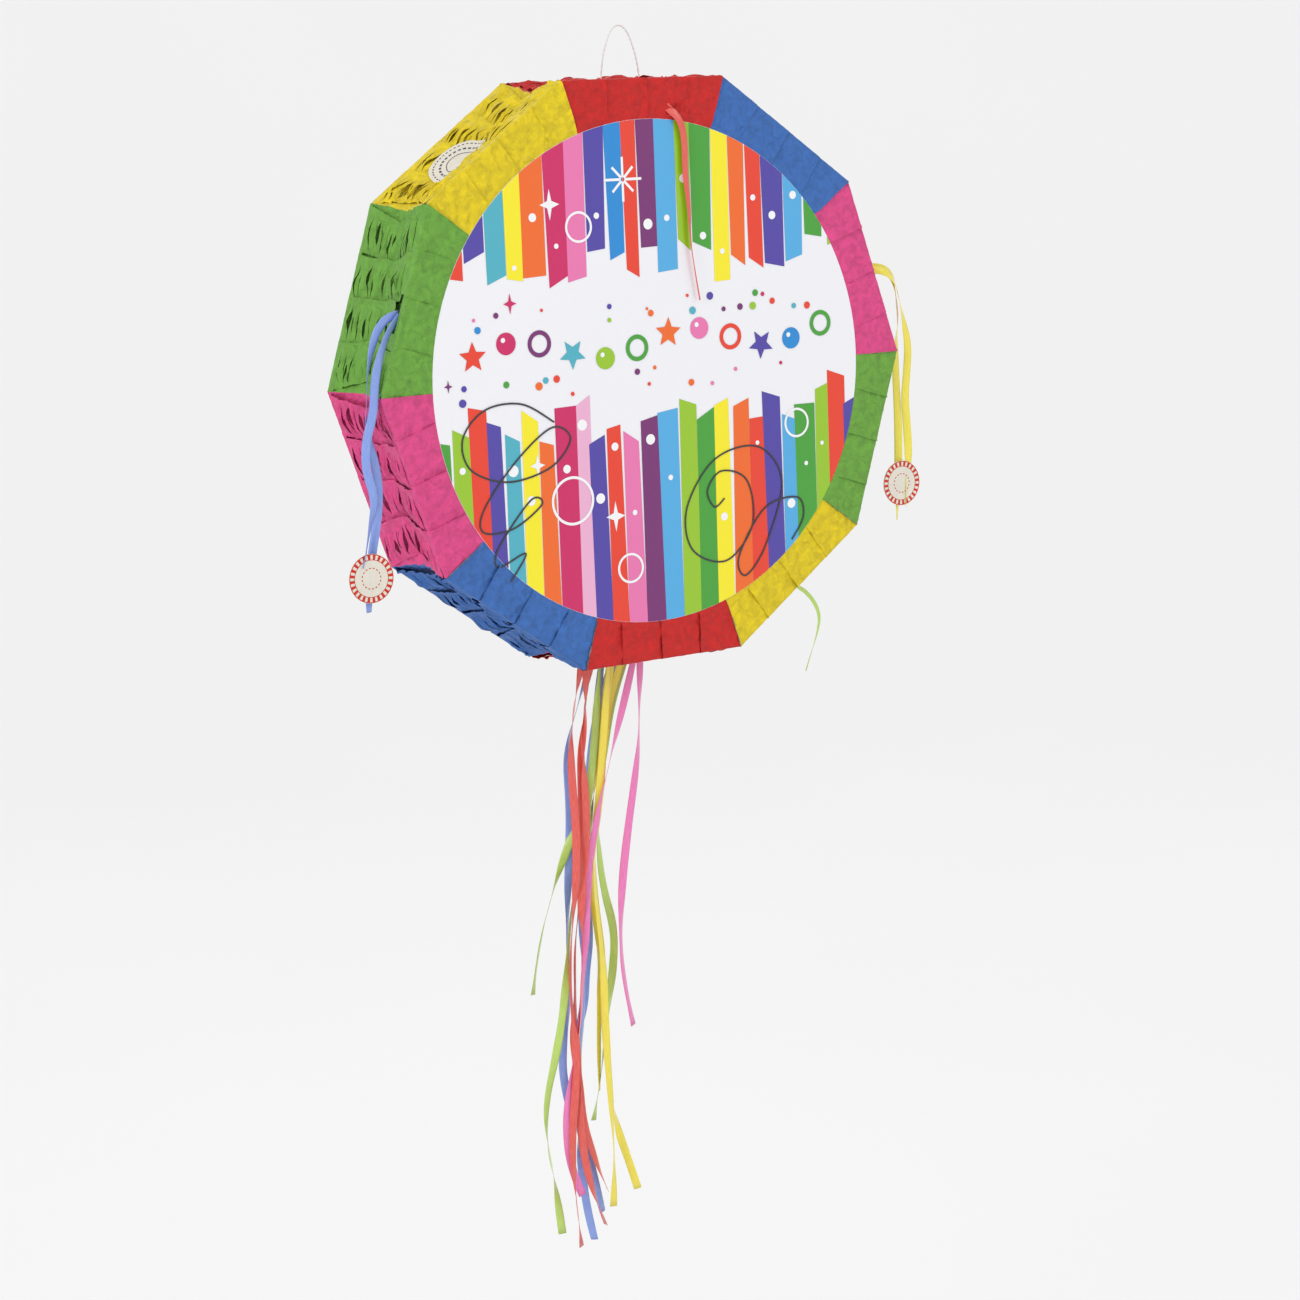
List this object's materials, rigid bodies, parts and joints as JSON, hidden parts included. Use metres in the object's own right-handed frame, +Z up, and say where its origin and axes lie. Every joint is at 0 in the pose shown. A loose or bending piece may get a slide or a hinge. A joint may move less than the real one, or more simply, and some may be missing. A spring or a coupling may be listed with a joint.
{
  "type": "pinata",
  "caption": "Round flat-sided party pinata that folds flat and pops open: card drum in fringed tissue, printed faces, string hanging loop, side pull ribbons with tags and a ribbon tail.",
  "frame": {"origin": "top of the hanging string loop", "axes": "+X to the right and +Y to the back, seen from the printed front, +Z up"},
  "size_m": [0.531, 0.0949, 0.9837],
  "materials": {
    "tissue_red": "matte crepe tissue",
    "tissue_blue": "matte crepe tissue",
    "tissue_pink": "matte crepe tissue",
    "tissue_green": "matte crepe tissue",
    "tissue_yellow": "matte crepe tissue",
    "board_card": "matte",
    "white_card": "matte",
    "printed_paper": "glossy printed",
    "label_paper": "satin",
    "tag_paper": "satin",
    "white_string": "twisted",
    "toggle_wood": "plain",
    "ribbon_red": "satin",
    "ribbon_blue": "satin",
    "ribbon_lime": "satin",
    "ribbon_yellow": "satin",
    "ribbon_pink": "satin"
  },
  "bodies": {
    "back_board": {"back_board": "board_card", "back_print": "printed_paper", "left_brace_flange": "white_card", "right_brace_flange": "white_card"},
    "front_board": {"front_board": "board_card", "front_print": "printed_paper", "left_lock_stop": "white_card", "right_lock_stop": "white_card", "front_streamer": "ribbon_red", "loose_ribbon": "ribbon_lime"},
    "side_01_rear": {"side_01_rear_half": "tissue_red"},
    "side_01_front": {"side_01_front_half": "tissue_red"},
    "side_02_rear": {"side_02_rear_half": "tissue_blue"},
    "side_02_front": {"side_02_front_half": "tissue_blue"},
    "side_03_rear": {"side_03_rear_half": "tissue_pink"},
    "side_03_front": {"side_03_front_half": "tissue_pink"},
    "side_04_rear": {"side_04_rear_half": "tissue_green"},
    "side_04_front": {"side_04_front_half": "tissue_green"},
    "side_05_rear": {"side_05_rear_half": "tissue_yellow"},
    "side_05_front": {"side_05_front_half": "tissue_yellow"},
    "side_06_rear": {"side_06_rear_half": "tissue_red"},
    "side_06_front": {"side_06_front_half": "tissue_red"},
    "side_07_rear": {"side_07_rear_half": "tissue_blue"},
    "side_07_front": {"side_07_front_half": "tissue_blue"},
    "side_08_rear": {"side_08_rear_half": "tissue_pink"},
    "side_08_front": {"side_08_front_half": "tissue_pink"},
    "side_09_rear": {"side_09_rear_half": "tissue_green"},
    "side_09_front": {"side_09_front_half": "tissue_green"},
    "side_10_rear": {"side_10_rear_half": "tissue_yellow", "fill_label_rear": "label_paper"},
    "side_10_front": {"side_10_front_half": "tissue_yellow", "fill_label_front": "label_paper"},
    "left_brace": {"left_brace": "white_card"},
    "right_brace": {"right_brace": "white_card"},
    "hanger": {"hanger_toggle": "toggle_wood", "hanger_cord": "white_string"},
    "trap_door": {"trap_door": "tissue_red"},
    "ribbon_tail": {"ribbon_knots": "ribbon_red", "tail_red_a": "ribbon_red", "tail_red_b": "ribbon_red", "tail_red_c": "ribbon_red", "tail_blue_a": "ribbon_blue", "tail_blue_b": "ribbon_blue", "tail_blue_c": "ribbon_blue", "tail_lime_a": "ribbon_lime", "tail_lime_b": "ribbon_lime", "tail_lime_c": "ribbon_lime", "tail_yellow_a": "ribbon_yellow", "tail_yellow_b": "ribbon_yellow", "tail_yellow_c": "ribbon_yellow", "tail_pink_a": "ribbon_pink", "tail_pink_b": "ribbon_pink"},
    "left_pull": {"left_pull_knot": "ribbon_blue", "left_pull_ribbon_a": "ribbon_blue", "left_pull_ribbon_b": "ribbon_blue", "left_tag": "tag_paper"},
    "right_pull": {"right_pull_knot": "ribbon_yellow", "right_pull_ribbon_a": "ribbon_yellow", "right_pull_ribbon_b": "ribbon_yellow", "right_tag": "tag_paper"}
  },
  "joints": [
    {"name": "drum_fold", "type": "hinge", "parent": "back_board", "child": "side_01_rear", "pos_m": [-0.008, 0.0417, -0.0462], "axis": [1, 0, 0], "range_deg": [0, 60]},
    {"name": "side_01_crease", "type": "hinge", "parent": "side_01_rear", "child": "side_01_front", "pos_m": [-0.008, 0, -0.05233], "axis": [1, 0, 0], "range_deg": [-120, 0]},
    {"name": "side_02_rear_hinge", "type": "hinge", "parent": "back_board", "child": "side_02_rear", "pos_m": [0.12178, 0.0417, -0.08837], "axis": [0.809, 0, -0.5878], "range_deg": [0, 60]},
    {"name": "side_02_crease", "type": "hinge", "parent": "side_02_rear", "child": "side_02_front", "pos_m": [0.11818, 0, -0.09333], "axis": [0.809, 0, -0.5878], "range_deg": [-120, 0]},
    {"name": "side_03_rear_hinge", "type": "hinge", "parent": "back_board", "child": "side_03_rear", "pos_m": [0.20199, 0.0417, -0.19877], "axis": [0.309, 0, -0.9511], "range_deg": [0, 60]},
    {"name": "side_03_crease", "type": "hinge", "parent": "side_03_rear", "child": "side_03_front", "pos_m": [0.19616, 0, -0.20067], "axis": [0.309, 0, -0.9511], "range_deg": [-120, 0]},
    {"name": "side_04_rear_hinge", "type": "hinge", "parent": "back_board", "child": "side_04_rear", "pos_m": [0.20199, 0.0417, -0.33523], "axis": [-0.309, 0, -0.9511], "range_deg": [0, 60]},
    {"name": "side_04_crease", "type": "hinge", "parent": "side_04_rear", "child": "side_04_front", "pos_m": [0.19616, 0, -0.33333], "axis": [-0.309, 0, -0.9511], "range_deg": [-120, 0]},
    {"name": "side_05_rear_hinge", "type": "hinge", "parent": "back_board", "child": "side_05_rear", "pos_m": [0.12178, 0.0417, -0.44563], "axis": [-0.809, 0, -0.5878], "range_deg": [0, 60]},
    {"name": "side_05_crease", "type": "hinge", "parent": "side_05_rear", "child": "side_05_front", "pos_m": [0.11818, 0, -0.44067], "axis": [-0.809, 0, -0.5878], "range_deg": [-120, 0]},
    {"name": "side_06_rear_hinge", "type": "hinge", "parent": "back_board", "child": "side_06_rear", "pos_m": [-0.008, 0.0417, -0.4878], "axis": [-1, 0, 0], "range_deg": [0, 60]},
    {"name": "side_06_crease", "type": "hinge", "parent": "side_06_rear", "child": "side_06_front", "pos_m": [-0.008, 0, -0.48167], "axis": [-1, 0, 0], "range_deg": [-120, 0]},
    {"name": "side_07_rear_hinge", "type": "hinge", "parent": "back_board", "child": "side_07_rear", "pos_m": [-0.13778, 0.0417, -0.44563], "axis": [-0.809, 0, 0.5878], "range_deg": [0, 60]},
    {"name": "side_07_crease", "type": "hinge", "parent": "side_07_rear", "child": "side_07_front", "pos_m": [-0.13418, 0, -0.44067], "axis": [-0.809, 0, 0.5878], "range_deg": [-120, 0]},
    {"name": "side_08_rear_hinge", "type": "hinge", "parent": "back_board", "child": "side_08_rear", "pos_m": [-0.21799, 0.0417, -0.33523], "axis": [-0.309, 0, 0.9511], "range_deg": [0, 60]},
    {"name": "side_08_crease", "type": "hinge", "parent": "side_08_rear", "child": "side_08_front", "pos_m": [-0.21216, 0, -0.33333], "axis": [-0.309, 0, 0.9511], "range_deg": [-120, 0]},
    {"name": "side_09_rear_hinge", "type": "hinge", "parent": "back_board", "child": "side_09_rear", "pos_m": [-0.21799, 0.0417, -0.19877], "axis": [0.309, 0, 0.9511], "range_deg": [0, 60]},
    {"name": "side_09_crease", "type": "hinge", "parent": "side_09_rear", "child": "side_09_front", "pos_m": [-0.21216, 0, -0.20067], "axis": [0.309, 0, 0.9511], "range_deg": [-120, 0]},
    {"name": "side_10_rear_hinge", "type": "hinge", "parent": "back_board", "child": "side_10_rear", "pos_m": [-0.13778, 0.0417, -0.08837], "axis": [0.809, 0, 0.5878], "range_deg": [0, 60]},
    {"name": "side_10_crease", "type": "hinge", "parent": "side_10_rear", "child": "side_10_front", "pos_m": [-0.13418, 0, -0.09333], "axis": [0.809, 0, 0.5878], "range_deg": [-120, 0]},
    {"name": "front_board_hinge", "type": "hinge", "parent": "side_01_front", "child": "front_board", "pos_m": [-0.008, -0.0417, -0.0462], "axis": [1, 0, 0], "range_deg": [0, 60]},
    {"name": "left_brace_hinge", "type": "hinge", "parent": "back_board", "child": "left_brace", "pos_m": [-0.158, 0.0411, -0.2], "axis": [0, 0, 1], "range_deg": [0, 78]},
    {"name": "right_brace_hinge", "type": "hinge", "parent": "back_board", "child": "right_brace", "pos_m": [0.142, 0.0411, -0.2], "axis": [0, 0, -1], "range_deg": [0, 78]},
    {"name": "hanger_pivot", "type": "hinge", "parent": "side_01_rear", "child": "hanger", "pos_m": [-0.016, 0, -0.05233], "axis": [1, 0, 0], "range_deg": [-60, 0]},
    {"name": "trap_door_hinge", "type": "hinge", "parent": "side_06_front", "child": "trap_door", "pos_m": [-0.008, -0.03263, -0.48742], "axis": [-1, 0, 0], "range_deg": [0, 160]},
    {"name": "tail_pivot", "type": "hinge", "parent": "side_06_rear", "child": "ribbon_tail", "pos_m": [-0.027, 0.00463, -0.48187], "axis": [1, 0, 0], "range_deg": [0, 60]},
    {"name": "left_ribbon_swing", "type": "hinge", "parent": "front_board", "child": "left_pull", "pos_m": [-0.22112, -0.03844, -0.20827], "axis": [0, 1, 0], "range_deg": [0, 90]},
    {"name": "right_ribbon_swing", "type": "hinge", "parent": "front_board", "child": "right_pull", "pos_m": [0.20203, -0.03844, -0.19876], "axis": [0, -1, 0], "range_deg": [0, 90]}
  ],
  "couplings": [
    {"joint": "side_01_crease", "follows": "drum_fold", "ratio": -2},
    {"joint": "side_02_rear_hinge", "follows": "drum_fold", "ratio": 1},
    {"joint": "side_02_crease", "follows": "drum_fold", "ratio": -2},
    {"joint": "side_03_rear_hinge", "follows": "drum_fold", "ratio": 1},
    {"joint": "side_03_crease", "follows": "drum_fold", "ratio": -2},
    {"joint": "side_04_rear_hinge", "follows": "drum_fold", "ratio": 1},
    {"joint": "side_04_crease", "follows": "drum_fold", "ratio": -2},
    {"joint": "side_05_rear_hinge", "follows": "drum_fold", "ratio": 1},
    {"joint": "side_05_crease", "follows": "drum_fold", "ratio": -2},
    {"joint": "side_06_rear_hinge", "follows": "drum_fold", "ratio": 1},
    {"joint": "side_06_crease", "follows": "drum_fold", "ratio": -2},
    {"joint": "side_07_rear_hinge", "follows": "drum_fold", "ratio": 1},
    {"joint": "side_07_crease", "follows": "drum_fold", "ratio": -2},
    {"joint": "side_08_rear_hinge", "follows": "drum_fold", "ratio": 1},
    {"joint": "side_08_crease", "follows": "drum_fold", "ratio": -2},
    {"joint": "side_09_rear_hinge", "follows": "drum_fold", "ratio": 1},
    {"joint": "side_09_crease", "follows": "drum_fold", "ratio": -2},
    {"joint": "side_10_rear_hinge", "follows": "drum_fold", "ratio": 1},
    {"joint": "side_10_crease", "follows": "drum_fold", "ratio": -2},
    {"joint": "front_board_hinge", "follows": "drum_fold", "ratio": 1},
    {"joint": "left_brace_hinge", "follows": "drum_fold", "ratio": 1.3},
    {"joint": "right_brace_hinge", "follows": "drum_fold", "ratio": 1.3},
    {"joint": "hanger_pivot", "follows": "drum_fold", "ratio": -1},
    {"joint": "tail_pivot", "follows": "drum_fold", "ratio": 1}
  ]
}
